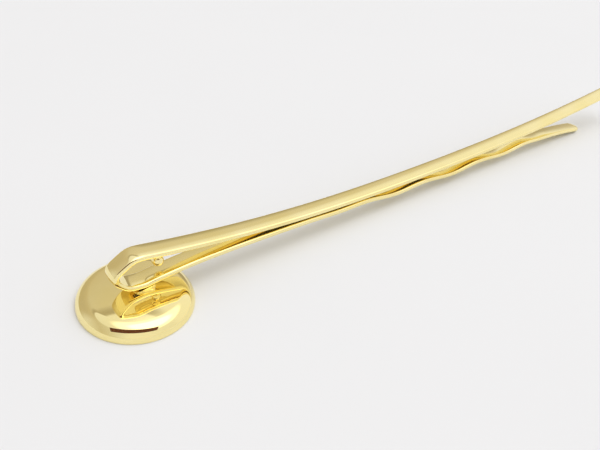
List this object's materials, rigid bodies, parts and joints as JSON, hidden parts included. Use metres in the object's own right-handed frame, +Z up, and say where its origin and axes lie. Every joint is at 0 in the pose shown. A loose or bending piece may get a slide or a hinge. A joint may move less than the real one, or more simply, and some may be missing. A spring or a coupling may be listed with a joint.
{
  "type": "hairpin with round cup setting",
  "caption": "Spring hairpin bent from one flat strip, with a smooth upper leg, a crimped lower leg and a shallow round cup setting soldered at the bend.",
  "frame": {"origin": "on the resting surface, under the middle of the overall length and on the pin's middle plane", "axes": "+X from the cup and bend towards the leg tips, +Z up from the open side of the cup to its flat back"},
  "size_m": [0.062, 0.008, 0.0044],
  "materials": {
    "cup_gold": "mirror-polished gold plating on pressed brass",
    "strip_gold": "mirror-polished gold plating on spring strip, with rounded edges",
    "solder_gold": "gold plating over an uneven solder surface"
  },
  "bodies": {
    "cup_and_lower_leg": {"cup_setting": "cup_gold", "solder_joint": "solder_gold", "lower_leg": "strip_gold"},
    "upper_leg_body": {"upper_leg": "strip_gold", "stop_bead": "solder_gold"}
  },
  "joints": [
    {"name": "leg_opening", "type": "hinge", "parent": "cup_and_lower_leg", "child": "upper_leg_body", "pos_m": [-0.02885, 0, 0.00308], "axis": [0, -1, 0], "range_deg": [0, 12], "stiffness_Nm_per_rad": 0.25, "springref_deg": -2.86}
  ]
}
